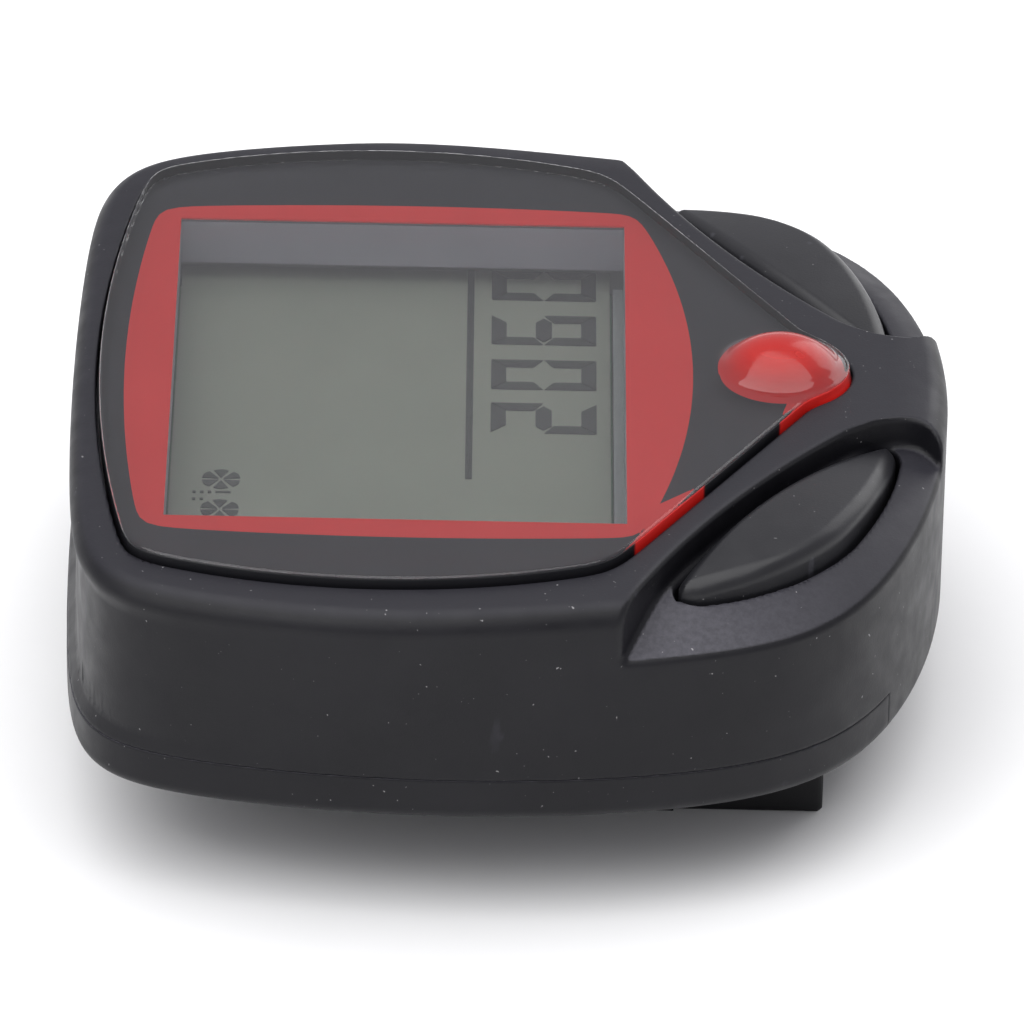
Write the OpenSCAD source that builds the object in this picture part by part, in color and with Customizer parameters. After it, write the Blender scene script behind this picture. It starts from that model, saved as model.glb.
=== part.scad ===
// Cycling computer on its handlebar bracket.
// Frame: +Y is the direction of travel (12 o'clock on the display), +X the rider's right, +Z up.
// Origin: the middle of the footprint, on the plane that the bracket stands on. All sizes in mm.

/* [Computer] */
// Width of the housing across the handlebar direction
body_w = 48.4; // [46:0.2:52]
// Length of the housing along the direction of travel
body_l = 42.4; // [41:0.2:45]
// Height of the housing from its underside to the rim around the lens
body_h = 11.4; // [11.2:0.1:12.6]
// How far the rim stands out over the foot of each side wall, towards 12 o'clock
rim_flare = 1; // [0:0.1:1.2]
// Wall thickness of the housing shells
wall_t = 1.5; // [1.3:0.1:1.7]
// Height of the bottom shell's wall, up to the parting line
parting_h = 2.2; // [1.8:0.1:2.6]
// Width of the top shell's tongue that closes the rider end of the bottom shell
tongue_w = 22; // [16:1:24]

/* [Lens and display] */
// Thickness of the clear lens
lens_t = 1.5; // [1.2:0.1:1.8]
// Height of the raised red dome at the rider end of the lens
dome_h = 1.3; // [0.8:0.1:1.6]
// Radius of the raised dome where it leaves the lens
dome_r = 2.9; // [2.4:0.1:3.1]
// Width of the clear window
window_w = 30.7; // [28:0.1:32]
// Length of the clear window
window_l = 21.9; // [20:0.1:23]
// Depth of the display surface below the printed film
display_drop = 2.6; // [2.1:0.05:2.6]

/* [Buttons] */
// Travel of each leaf-shaped button
button_travel = 0.6; // [0.3:0.1:0.6]
// Clear gap between a button and the edge of its well
button_gap = 0.2; // [0.15:0.05:0.3]
// Depth of the button recess below the rim
recess_drop = 1.6; // [1.4:0.1:1.8]

/* [Battery] */
// Diameter of the coin cell
cell_d = 20; // [16:1:20]
// Thickness of the coin cell
cell_t = 3.2; // [2.5:0.1:3.2]
// Diameter of the coin-slot battery cover
cover_d = 23.6; // [22:0.2:23.6]

/* [Handlebar bracket] */
// Height of the bracket, from its feet to the underside of the computer
bracket_h = 5.5; // [5.5:0.1:6.5]
// Width of the bracket across the travel direction
bracket_w = 26.4; // [26:0.2:27]
// Diameter of the handlebar that the saddle fits
bar_d = 25.4; // [25.4:0.2:31.8]
// Thickness of the rubber pad between bracket and handlebar
pad_t = 0.8; // [0.5:0.1:0.8]
// Width of each cable-tie channel
tie_w = 3.2; // [2.6:0.1:3.6]
// Radius of the sensor cable's inlet hole
cable_r = 1; // [0.8:0.05:1.1]

/* [Hidden] */

$fn = 64;
eps = 0.01;
steps = 100;
ring_steps = 240;

// Heights, from the bracket's feet upwards
unit_z = bracket_h;
rim_z = unit_z + body_h;
parting_z = unit_z + parting_h;
floor_t = 1.6;
floor_z = unit_z + floor_t;
lens_proud = 0.5;
lens_z = rim_z + lens_proud - lens_t;
print_t = 0.1;
tape_t = 0.1;
tape_z = lens_z - print_t - tape_t;
deck_t = 1.5;
polarizer_t = 0.2;
polarizer_z = lens_z - print_t - display_drop;
glass_t = 0.65;
segment_t = 0.05;
front_glass_z = polarizer_z - glass_t;
segment_z = front_glass_z - segment_t;
rear_glass_z = segment_z - glass_t;
reflector_t = 0.15;
reflector_z = rear_glass_z - reflector_t;
lcd_w = 33.6;
lcd_front_l = 24;
lcd_rear_l = 21.2;
lcd_rear_shift = 0.3;
board_t = 0.8;
board_top = unit_z + 5.75;
board_z = board_top - board_t;
cell_z = unit_z + 1.4;
recess_z = rim_z - recess_drop;
recess_ceiling = rim_z - 4.1;
recess_shell_t = 1.3;
button_edge_z = rim_z - 1.1;

// Housing outline: four large circles blended by a soft minimum of their reach from the centre
wall_end_r = 295;
wall_side_r = 54;
wall_side_y = 2.2;
wall_nose_r = 42.7;
wall_blend = 12.6;
flare_start_y = -6;
flare_full_y = 8;

// Lens outline: a front arc, two side arcs and two straight flanks that meet at the nose
lens_end_y = 19.8;
lens_end_r = 100;
lens_side_x = 22.15;
lens_side_r = 29;
lens_side_y = 6;
lens_flank_angle = -60.4;
lens_flank_d = 14.15;
lens_blend = 44;
nose_y = -12.9;
nose_r = 3.5;
dome_y = -13.1;
lens_gap = 0.15;

// Red ring outline, again as blended arcs
ring_end_y = 18.6;
ring_end_r = 115;
ring_side_x = 17.1;
ring_side_r = 135;
ring_side_y = 4.6;
ring_nose_y = -8.85;
ring_nose_r = 53;
ring_blend = 34;
window_y = 5.35;

// Button recess: inside a large circle beyond the lens flank, and outside the nose block
recess_c = [44.6, -60.5];
recess_r = 59;
nose_half = 3.9;
corner_r = 2;
flare_r = 3;
flare_y = 0.15 - body_l / 2 + flare_r;
// The ledge outside each button slopes down to the wall as part of a cone
ledge_c = [4.5, -4.25];
ledge_r = 19.1;
ledge_z = recess_z - 1.46;
ledge_slope = 0.4;

// Leaf-shaped button: between an arc beside the recess's step and two flat outer arcs, with blunt tips
leaf_step_gap = 0.55;
leaf_side_c = [-8.6, 0.2];
leaf_side_r = 29.7;
leaf_end_c = [3.1, 6.2];
leaf_end_r = 24.9;
leaf_tip_c = [12.3, -13.5];
leaf_tip_r = 9;
button_c = [13, -13.6];
crown_r = 43;
flange_w = 0.5;

// Fasteners and contacts
screw_at = [[20, 13.2], [20.1, -4]];
screw_r = 0.65;
screw_head_r = 1.25;
boss_r = 1.7;
stud_x = 3.5;
stud_y = 10.9;
pin_r = 0.8;
run_gap = 0.05;

// Bayonet battery cover
cover_y = -2.5;
cover_z = unit_z + 0.15;
cover_t = 1.2;
cover_gap = 0.15;
lug_r = cover_d / 2 + 0.9;
lug_z = floor_z + 0.12;
lug_t = 0.6;
lug_angle = 28;
lug_start = 90;

// Bracket: T-shaped track, saddle, tie channels and release tab
deck_z = unit_z - 0.2;
track_z0 = unit_z - 2.6;
track_z1 = unit_z - 1.2;
track_in = bracket_w / 2 - 1.5;
foot_front_y = 12.8;
foot_rear_y = -15.4;
stop_y = -8.5;
saddle_half = 8.25;
saddle_r = bar_d / 2 + pad_t;
saddle_drop = sqrt(saddle_r * saddle_r - saddle_half * saddle_half);
rail_half_l = 8.3;
rail_gap = 0.2;
rail_w = 1.6;
tie_x = 8;
tie_z = 3.3;
tie_h = 1.3;
tab_half = 8;
tab_neck_half = 5;
tab_pad_l = 2.4;
tab_tip_y = -19.3;
tab_root_y = -9.9;
tab_z = unit_z - 2.5;
tab_t = 1.2;
tab_pivot_z = tab_z + tab_t / 2;
cable_z = 1.5;

// Distance from the centre to a circle's far side, along the direction a
function reach(a, c, r) =
  let (b = c[0] * cos(a) + c[1] * sin(a))
  b + sqrt(b * b - c[0] * c[0] - c[1] * c[1] + r * r);

// Distance from the centre to a straight line at distance d, whose normal points along the angle n
function line_reach(a, n, d) = cos(a - n) > 0.05 ? d / cos(a - n) : 1000;

function total(v) = len(v) == 0 ? 0 : v * [for (x = v) 1];
function soft_min(v, n) = pow(total([for (x = v) pow(x, -n)]), -1 / n);
function polar(a, r) = [r * cos(a), r * sin(a)];

function wall_reach(a, inset) = soft_min([
  reach(a, [0, body_l / 2 - wall_end_r], wall_end_r - inset),
  reach(a, [0, wall_nose_r - body_l / 2], wall_nose_r - inset),
  reach(a, [body_w / 2 - wall_side_r, wall_side_y], wall_side_r - inset),
  reach(a, [wall_side_r - body_w / 2, wall_side_y], wall_side_r - inset)
], wall_blend);

// Sideways growth of the wall at its top edge, as a factor of x
function flare_factor(y) =
  let (s = min(1, max(0, (y - flare_start_y) / (flare_full_y - flare_start_y))))
  rim_flare * 2 / body_w * s * s * (3 - 2 * s);

function lens_reach(a, inset) = soft_min([
  reach(a, [0, lens_end_y - lens_end_r], lens_end_r - inset),
  reach(a, [lens_side_x - lens_side_r, lens_side_y], lens_side_r - inset),
  reach(a, [lens_side_r - lens_side_x, lens_side_y], lens_side_r - inset),
  line_reach(a, lens_flank_angle, lens_flank_d - inset),
  line_reach(a, 180 - lens_flank_angle, lens_flank_d - inset)
], lens_blend);

function ring_reach(a) = soft_min([
  reach(a, [0, ring_end_y - ring_end_r], ring_end_r),
  reach(a, [0, ring_nose_y + ring_nose_r], ring_nose_r),
  reach(a, [ring_side_x - ring_side_r, ring_side_y], ring_side_r),
  reach(a, [ring_side_r - ring_side_x, ring_side_y], ring_side_r)
], ring_blend);

module wall_outline(inset = 0) {
  polygon([for (i = [0 : steps - 1]) let (a = 360 * (i + 0.5) / steps) polar(a, wall_reach(a, inset))]);
}

module lens_outline(inset = 0) {
  union() {
    polygon([for (i = [0 : steps - 1]) let (a = 360 * i / steps) polar(a, lens_reach(a, inset))]);
    translate([0, nose_y]) circle(r = nose_r - inset);
  }
}

module ring_outline() {
  polygon([for (i = [0 : ring_steps - 1]) let (a = 360 * i / ring_steps) polar(a, ring_reach(a))]);
}

module window_outline(margin = 0) {
  translate([0, window_y]) square([window_w + 2 * margin, window_l + 2 * margin], center = true);
}

module slab(z0, z1) {
  translate([0, 0, z0]) linear_extrude(z1 - z0) children();
}

module both_sides() {
  children();
  mirror([1, 0, 0]) children();
}

// Solid through a stack of housing outlines, each layer a height, an inset and a share of the flare, upwards
module housing_block(layers) {
  last = len(layers) - 1;
  points = [
    for (layer = layers, i = [0 : steps - 1])
      let (a = 360 * (i + 0.5) / steps, r = wall_reach(a, layer[1]), y = r * sin(a))
        [r * cos(a) * (1 + layer[2] * flare_factor(y)), y, layer[0]]
  ];
  walls = [
    for (n = [0 : last - 1], j = [0 : steps - 1], half = [0, 1])
      let (k = (j + 1) % steps, low = n * steps, up = low + steps)
        half == 0 ? [low + j, up + j, up + k] : [low + j, up + k, low + k]
  ];
  under = [for (j = [0 : steps - 1]) j];
  over = [for (j = [steps - 1 : -1 : 0]) last * steps + j];
  polyhedron(points, concat([under, over], walls), convexity = 4);
}

// Layers of a quarter-round edge that starts at the height z; up is 1 for an upper edge and -1 for a lower one
function round_edge(z, radius, up) = [
  for (k = [0 : 3]) let (angle = up > 0 ? 30 * k : 90 - 30 * k)
    [z + up * radius * sin(angle), radius * (1 - cos(angle)), up > 0 ? 1 : 0]
];

/* ---------- button recess, shared by the top shell and the buttons ---------- */

// Plan of one recess, grown towards the lens by the margin
module recess_plan(margin = 0) {
  fillet_x = nose_half + corner_r;
  fillet_y = recess_c[1] + sqrt(pow(recess_r - corner_r, 2) - pow(recess_c[0] - fillet_x, 2));
  tangent = ([fillet_x, fillet_y] - recess_c) * 1.06 + recess_c;
  intersection() {
    translate(recess_c) circle(r = recess_r + margin, $fn = 180);
    union() {
      translate([nose_half + flare_r, -40]) square([30, 60]);
      translate([nose_half + flare_r, flare_y]) circle(r = flare_r + margin);
      translate([nose_half - margin, flare_y]) square([flare_r + margin, fillet_y - flare_y]);
      translate([fillet_x, fillet_y]) circle(r = corner_r + margin);
      polygon([[fillet_x, fillet_y], tangent, [fillet_x, tangent[1]]]);
    }
  }
}

// Space above the sloping ledge
module above_ledge() {
  apex_r = ledge_r + 6;
  cone_z = ledge_z - 6 * ledge_slope;
  difference() {
    translate([0, -40, ledge_z - 4]) cube([40, 60, 20]);
    translate([ledge_c[0], ledge_c[1], cone_z]) cylinder(h = apex_r * ledge_slope, r1 = apex_r, r2 = 0, $fn = 120);
    translate([ledge_c[0], ledge_c[1], cone_z - 6]) cylinder(h = 6, r = apex_r, $fn = 120);
  }
}

module recess_cutter() {
  slab(recess_z, rim_z + 2) recess_plan();
  intersection() {
    slab(ledge_z - 4, rim_z + 2) recess_plan();
    above_ledge();
  }
}

// Plan of one button, grown by the margin
module leaf_plan(margin = 0) {
  intersection() {
    translate(leaf_side_c) circle(r = leaf_side_r + margin, $fn = 180);
    translate(leaf_end_c) circle(r = leaf_end_r + margin, $fn = 180);
    translate(recess_c) circle(r = recess_r - leaf_step_gap + margin, $fn = 360);
    translate(leaf_tip_c) circle(r = leaf_tip_r + margin, $fn = 96);
  }
}

module button() {
  stem_z = board_top + 0.3 + button_travel + 0.1;
  flange_top = rim_z - 4.2;
  intersection() {
    slab(stem_z, rim_z) leaf_plan();
    translate([button_c[0], button_c[1], button_edge_z + 0.85 - crown_r]) sphere(r = crown_r, $fn = 180);
  }
  slab(stem_z, flange_top) intersection() {
    leaf_plan(flange_w);
    wall_outline(wall_t + 0.15);
  }
}

/* ---------- handlebar bracket ---------- */

module bracket_outline() {
  translate([-bracket_w / 2, foot_rear_y]) square([bracket_w, foot_front_y - foot_rear_y]);
}

module bracket_base() {
  color("#26262a") difference() {
    slab(0, deck_z) bracket_outline();
    // saddle for the handlebar and its pad
    translate([-20, 0, -saddle_drop]) rotate([0, 90, 0]) cylinder(h = 40, r = saddle_r, $fn = 128);
    // open side tracks for the computer's rails
    both_sides() {
      translate([track_in, stop_y, track_z0]) cube([5, 30, track_z1 - track_z0]);
    }
    // cable-tie channels
    both_sides() {
      translate([tie_x - tie_w / 2, -20, tie_z]) cube([tie_w, 40, tie_h]);
    }
    // sprung contact pins
    both_sides() {
      translate([stud_x, stud_y, 0.8]) cylinder(h = 10, r = pin_r + run_gap);
    }
    // room for the release tab
    translate([-tab_neck_half - 0.3, -30, 1.7]) cube([2 * tab_neck_half + 0.6, 30 + tab_root_y + 0.8, 10]);
    // inlet for the sensor cable
    translate([bracket_w / 2 - 4, stud_y, cable_z]) rotate([0, 90, 0]) cylinder(h = 8, r = cable_r);
  }
}

module bracket_pad() {
  color("#1c1c1e") intersection() {
    translate([-bracket_w / 2, -saddle_half, 0]) cube([bracket_w, 2 * saddle_half, 10]);
    difference() {
      translate([-bracket_w / 2, 0, -saddle_drop]) rotate([0, 90, 0]) {
        cylinder(h = bracket_w, r = saddle_r, $fn = 128);
      }
      translate([-20, 0, -saddle_drop]) rotate([0, 90, 0]) cylinder(h = 40, r = bar_d / 2, $fn = 128);
    }
  }
}

module release_tab() {
  ridge_y = -12.6;
  ridge_half = 3.5;
  neck_w = 2 * tab_neck_half;
  color("#2b2b30") union() {
    translate([-tab_neck_half, tab_root_y, tab_pivot_z]) rotate([0, 90, 0]) cylinder(h = neck_w, r = tab_t / 2);
    translate([-tab_neck_half, tab_tip_y + 1, tab_z]) cube([neck_w, tab_root_y - tab_tip_y - 1, tab_t]);
    // ridge that catches the underside of the computer
    translate([-ridge_half, ridge_y, tab_pivot_z]) cube([2 * ridge_half, 1, unit_z - 0.15 - tab_pivot_z]);
    // thumb pad
    translate([-tab_half, tab_tip_y, tab_z]) cube([2 * tab_half, tab_pad_l, tab_t]);
    translate([-tab_half, tab_tip_y, tab_z]) cube([2 * tab_half, 0.9, tab_t + 0.5]);
  }
}

module contact_pin() {
  color("#c9a24a") {
    translate([stud_x, stud_y, 1.6]) cylinder(h = unit_z - 0.4 - 1.6, r = pin_r);
    translate([stud_x, stud_y, unit_z - 0.45]) intersection() {
      translate([0, 0, -0.9]) sphere(r = 1.3);
      translate([0, 0, -0.1]) cylinder(h = 1, r = pin_r);
    }
  }
}

module right_contact_pin() {
  contact_pin();
}

module left_contact_pin() {
  mirror([1, 0, 0]) contact_pin();
}

/* ---------- housing ---------- */

// Outer solid of the bottom shell, with its rounded lower edge
module lower_block() {
  edge_r = 0.7;
  housing_block(concat(round_edge(unit_z + edge_r, edge_r, -1), [[parting_z, 0, 0]]));
}

module rider_tongue_cut(z0, z1, gap) {
  translate([-tongue_w / 2 - gap, -30, z0]) cube([tongue_w + 2 * gap, 12, z1 - z0]);
}

module top_housing() {
  shoulder_r = 1.1;
  color("#3b3b41") difference() {
    union() {
      difference() {
        housing_block(concat([[parting_z, 0, 0]], round_edge(rim_z - shoulder_r, shoulder_r, 1)));
        both_sides() recess_cutter();
        // pocket for the lens, and the opening above the display
        slab(tape_z, rim_z + 1) lens_outline(-lens_gap);
        slab(parting_z, rim_z) window_outline(0.5);
        // inside of the shell, with a lower ceiling under the button recesses
        difference() {
          slab(parting_z - 1, tape_z - deck_t) wall_outline(wall_t);
          both_sides() slab(recess_ceiling, rim_z) recess_plan(recess_shell_t);
        }
        both_sides() slab(parting_z, rim_z) leaf_plan(button_gap);
      }
      // tongue that closes the rider end, with a rib that ties it to the wall above
      intersection() {
        difference() {
          union() {
            lower_block();
            slab(parting_z - 0.5, parting_z + 0.5) wall_outline(0.3);
          }
          slab(unit_z - 1, parting_z + 1) wall_outline(wall_t);
        }
        rider_tongue_cut(unit_z - 1, parting_z + 1, 0);
      }
      // screw bosses
      both_sides() for (at = screw_at) {
        translate([at[0], at[1], floor_z + 0.1]) cylinder(h = tape_z - deck_t - floor_z, r = boss_r);
      }
    }
    both_sides() for (at = screw_at) {
      translate([at[0], at[1], floor_z - 1]) cylinder(h = 6.5, r = screw_r);
    }
  }
}

module bottom_housing() {
  lip_t = 0.8;
  color("#35353a") {
    difference() {
      union() {
        difference() {
          lower_block();
          slab(floor_z, parting_z + 1) wall_outline(wall_t);
          rider_tongue_cut(unit_z - 1, parting_z + 1, 0.03);
        }
        slab(unit_z, floor_z) intersection() {
          wall_outline(wall_t + 0.05);
          translate([-tongue_w / 2 - 1, -30]) square([tongue_w + 2, 14]);
        }
        // inner lip that locates the top shell
        difference() {
          slab(floor_z - eps, parting_z + 1) wall_outline(wall_t + 0.05);
          slab(floor_z - 1, parting_z + 2) wall_outline(wall_t + lip_t);
        }
        // posts under the circuit board
        both_sides() for (at = [[11.5, 15.2], [9, -16]]) {
          translate([at[0], at[1], floor_z - eps]) cylinder(h = board_z - floor_z + eps, r = 1);
        }
      }
      // bayonet opening with three entry notches
      translate([0, cover_y, unit_z - 1]) cylinder(h = 5, r = cover_d / 2 + cover_gap);
      for (turn = [60 : 120 : 300]) {
        translate([0, cover_y, unit_z - 1]) rotate(lug_start + turn) lug_wedge(5, lug_angle + 6, lug_r + cover_gap);
      }
      // contact studs
      both_sides() {
        translate([stud_x, stud_y, unit_z - 1]) cylinder(h = 1.6, r = 1.4);
        translate([stud_x, stud_y, unit_z]) cylinder(h = 3, r = 1);
      }
      // screw holes with sunk heads, and room for the top shell's bosses
      both_sides() for (at = screw_at) {
        translate([at[0], at[1], unit_z - 1]) cylinder(h = 1.9, r = screw_head_r + 0.1);
        translate([at[0], at[1], unit_z]) cylinder(h = 3, r = screw_r + 0.1);
        translate([at[0], at[1], floor_z + 0.05]) cylinder(h = 3, r = boss_r + 0.05);
      }
    }
    // L-shaped rails that hook under the bracket's deck
    both_sides() translate([0, -rail_half_l, 0]) {
      inner = bracket_w / 2 + rail_gap;
      translate([inner, 0, track_z0 + 0.15]) cube([rail_w, 2 * rail_half_l, unit_z + eps - track_z0 - 0.15]);
      translate([track_in + rail_gap + 0.05, 0, track_z0 + 0.15]) {
        cube([inner - track_in, 2 * rail_half_l, track_z1 - track_z0 - 0.3]);
      }
    }
  }
}

module housing_screws() {
  color("#8d9096") both_sides() for (at = screw_at) translate([at[0], at[1], 0]) difference() {
    union() {
      translate([0, 0, unit_z + 0.1]) cylinder(h = 0.8, r = screw_head_r);
      translate([0, 0, unit_z + 0.5]) cylinder(h = 5.2, r = screw_r);
    }
    for (turn = [0, 90]) rotate(turn) translate([-0.9, -0.15, unit_z]) cube([1.8, 0.3, 0.5]);
  }
}

module contact_studs() {
  color("#d0b060") both_sides() translate([stud_x, stud_y, 0]) {
    translate([0, 0, unit_z]) cylinder(h = 0.6, r = 1.4);
    translate([0, 0, unit_z + 0.5]) cylinder(h = 2, r = 1);
  }
}

// One open coil spring, swept from a round wire along a helix
module coil(height, coil_r, wire_r, turns) {
  sides = 8;
  rings = turns * 16;
  points = [
    for (i = [0 : rings]) let (a = 360 * turns * i / rings)
      for (j = [0 : sides - 1]) let (b = 360 * j / sides)
        [
          (coil_r + wire_r * cos(b)) * cos(a),
          (coil_r + wire_r * cos(b)) * sin(a),
          height * i / rings + wire_r * sin(b)
        ]
  ];
  walls = [
    for (i = [0 : rings - 1]) for (j = [0 : sides - 1]) let (k = (j + 1) % sides)
      [i * sides + k, i * sides + j, (i + 1) * sides + j, (i + 1) * sides + k]
  ];
  start = [for (j = [0 : sides - 1]) j];
  end = [for (j = [sides - 1 : -1 : 0]) rings * sides + j];
  polyhedron(points, concat(walls, [start, end]), convexity = 6);
}

module stud_springs() {
  wire_r = 0.12;
  low = unit_z + 2.5 + wire_r + 0.02;
  color("silver") both_sides() translate([stud_x, stud_y, low]) {
    coil(board_z - low - wire_r - 0.02, 0.75, wire_r, 3);
  }
}

/* ---------- battery and its cover ---------- */

// Pie slice from the centre, used for bayonet lugs and their notches
module lug_wedge(h, angle, r) {
  linear_extrude(h) intersection() {
    circle(r = r, $fn = 96);
    polygon([
      [0, 0],
      polar(-angle / 2, 2 * r),
      polar(0, 3 * r),
      polar(angle / 2, 2 * r)
    ]);
  }
}

module battery() {
  color("#c4c7cc") translate([0, cover_y, cell_z]) {
    cylinder(h = cell_t - 0.3, r = cell_d / 2, $fn = 96);
    translate([0, 0, cell_t - 0.3]) cylinder(h = 0.3, r = cell_d / 2 - 1.2, $fn = 96);
  }
}

module battery_holder() {
  color("#55565a") translate([0, cover_y, cell_z + 1.7]) difference() {
    cylinder(h = board_z - cell_z - 1.7, r = cell_d / 2 + 1, $fn = 96);
    translate([0, 0, -1]) cylinder(h = 10, r = cell_d / 2 + 0.2, $fn = 96);
    // gap for the plus clip
    translate([0, -2, -1]) cube([20, 4, 10]);
  }
}

module battery_plus_clip() {
  clip_x = cell_d / 2 + 0.05;
  color("#d8d2b8") {
    translate([clip_x, cover_y - 1.5, cell_z + 0.6]) cube([0.25, 3, board_z - cell_z - 0.6]);
    translate([clip_x, cover_y - 1.5, board_z - 0.25]) cube([3, 3, 0.25]);
  }
}

module battery_minus_leaf() {
  color("#d8d2b8") translate([0, cover_y, 0]) {
    translate([-4, -1.5, cell_z + cell_t + 0.02]) cube([8, 3, 0.15]);
    translate([-4, -1.5, cell_z + cell_t + 0.02]) cube([0.4, 3, board_z - cell_z - cell_t - 0.02]);
  }
}

module battery_cover() {
  ring_h = lug_z + lug_t - cover_z - cover_t;
  color("#303036") translate([0, cover_y, 0]) difference() {
    union() {
      translate([0, 0, cover_z]) cylinder(h = cover_t, r = cover_d / 2, $fn = 96);
      translate([0, 0, cover_z + cover_t - eps]) difference() {
        cylinder(h = ring_h + eps, r = cover_d / 2, $fn = 96);
        translate([0, 0, -1]) cylinder(h = 5, r = cell_d / 2 + 1, $fn = 96);
      }
      for (turn = [0 : 120 : 240]) translate([0, 0, lug_z]) rotate(lug_start + turn) difference() {
        lug_wedge(lug_t, lug_angle, lug_r);
        translate([0, 0, -1]) cylinder(h = 5, r = cover_d / 2 - 0.4, $fn = 96);
      }
    }
    // coin slot
    translate([-7, -0.8, cover_z - 1]) cube([14, 1.6, 1.7]);
    // groove for the seal
    translate([0, 0, cover_z + 0.35]) difference() {
      cylinder(h = 0.7, r = cover_d / 2 + 1, $fn = 96);
      translate([0, 0, -1]) cylinder(h = 3, r = cover_d / 2 - 0.65, $fn = 96);
    }
  }
}

module cover_seal() {
  color("#a03030") translate([0, cover_y, cover_z + 0.7]) rotate_extrude($fn = 96) {
    translate([cover_d / 2 - 0.28, 0]) circle(r = 0.33, $fn = 24);
  }
}

/* ---------- electronics ---------- */

module circuit_board() {
  color("#2f6b3c") slab(board_z, board_top) difference() {
    wall_outline(3);
    both_sides() for (at = screw_at) translate(at) circle(r = boss_r + 0.3);
  }
}

module chip_blob() {
  color("#151517") translate([-3, 9, board_top]) cylinder(h = 0.35, r1 = 4, r2 = 2.8);
}

module watch_crystal() {
  color("#b9bcc2") translate([15.4, 6, board_z - 1.05]) rotate([-90, 0, 0]) cylinder(h = 6, r = 1);
}

module surface_chip(at, length, breadth, height) {
  translate([at[0] - length / 2, at[1] - breadth / 2, board_z - height]) cube([length, breadth, height]);
}

module chip_capacitors() {
  color("#b08a5a") for (at = [[14.5, 13.4], [-14.5, 13.4], [-15.5, 9], [15, -10.8]]) surface_chip(at, 2, 1.25, 0.9);
}

module chip_resistors() {
  color("#26262c") for (i = [0 : 3]) surface_chip([-16.5, 5 - 2.2 * i], 1.6, 0.8, 0.45);
}

module switch_domes() {
  color("#d4d6da") both_sides() translate([button_c[0], button_c[1], board_top]) {
    cylinder(h = 0.3, r1 = 2.5, r2 = 1.4);
  }
}

/* ---------- display ---------- */

module lcd_block(length, z0, z1, margin = 0, shift = 0) {
  slab(z0, z1) translate([0, window_y + shift]) square([lcd_w + 2 * margin, length + 2 * margin], center = true);
}

module zebra_strips() {
  strip_w = 0.9;
  color("#77777f") for (side = [-1, 1]) {
    translate([-15, window_y + lcd_rear_shift + side * (lcd_rear_l + strip_w + 0.3) / 2 - strip_w / 2, board_top]) {
      cube([30, strip_w, front_glass_z - board_top]);
    }
  }
}

module lcd_reflector() {
  color("#8f948c") lcd_block(lcd_rear_l, reflector_z, rear_glass_z, 0, lcd_rear_shift);
}

module lcd_rear_glass() {
  color("#9fb3ac") lcd_block(lcd_rear_l, rear_glass_z, segment_z, 0, lcd_rear_shift);
}

module lcd_front_glass() {
  color("#a9bdb6") lcd_block(lcd_front_l, front_glass_z, polarizer_z);
}

module lcd_polarizer() {
  color("#7a7e76") slab(polarizer_z, polarizer_z + polarizer_t) window_outline(0.7);
}

// Seven-segment digit in plan: the lit segments from the top bar clockwise, then a width, a height and a stroke
module digit(lit, w, h, t) {
  gap = 0.05;
  slant = 0.6 * t;
  bar = [[gap - w / 2, h / 2], [w / 2 - gap, h / 2], [w / 2 - t - gap, h / 2 - t], [t + gap - w / 2, h / 2 - t]];
  post = [[w / 2, h / 2 - gap], [w / 2, gap], [w / 2 - t, gap + slant], [w / 2 - t, h / 2 - t - gap]];
  if (lit[0] == 1) polygon(bar);
  if (lit[1] == 1) polygon(post);
  if (lit[2] == 1) mirror([0, 1]) polygon(post);
  if (lit[3] == 1) mirror([0, 1]) polygon(bar);
  if (lit[4] == 1) rotate(180) polygon(post);
  if (lit[5] == 1) mirror([1, 0]) polygon(post);
  if (lit[6] == 1) polygon([
    [0.3 - w / 2, 0], [t - w / 2, slant - gap], [w / 2 - t, slant - gap],
    [w / 2 - 0.3, 0], [w / 2 - t, gap - slant], [t - w / 2, gap - slant]
  ]);
}

module wheel() {
  for (k = [0 : 5]) rotate(60 * k) polygon([polar(0, 0.14), polar(-22, 0.93), polar(0, 0.97), polar(22, 0.93)]);
}

module lcd_segments() {
  digit_w = 3.05;
  digit_h = 5.15;
  digit_t = 0.74;
  digit_y = -1.7;
  two = [1, 1, 0, 1, 1, 0, 1];
  zero = [1, 1, 1, 1, 1, 1, 0];
  six = [1, 0, 1, 1, 1, 1, 1];
  shown = [[1.35, two], [5.85, zero], [10.55, six], [15.25, zero]];
  color("#44444e") slab(segment_z, front_glass_z) {
    for (place = shown) translate([place[0], digit_y]) digit(place[1], digit_w, digit_h, digit_t);
    // separator line above the digits
    translate([-4.95, 1.74]) square([21.7, 0.34]);
    // two six-spoke wheels of the trip symbol, with its crossbar and dots
    for (x = [-8.5, -5.48]) translate([x, 13.79]) wheel();
    translate([-6.84, 13.3]) square([0.12, 0.73]);
    for (y = [14.23, 14.6, 14.97]) translate([-6.88, y]) square([0.17, 0.17]);
    for (y = [14.6, 14.97]) translate([-7.58, y]) square([0.17, 0.17]);
  }
}

module lcd_frame() {
  frame_t = 0.9;
  neck_z = tape_z - deck_t;
  color("#a8a6ad") difference() {
    union() {
      lcd_block(lcd_front_l, board_top, neck_z - 0.02, frame_t);
      slab(neck_z - 0.1, tape_z - 0.02) window_outline(0.45);
    }
    lcd_block(lcd_front_l, board_top - 1, polarizer_z + 0.03, 0.1);
    slab(polarizer_z, polarizer_z + polarizer_t + 0.03) window_outline(0.75);
    slab(polarizer_z, rim_z) window_outline();
    // corners cut back beside the button recesses
    both_sides() slab(recess_ceiling - 0.05, rim_z) recess_plan(recess_shell_t + 0.05);
  }
}

/* ---------- lens and its printed film ---------- */

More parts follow.
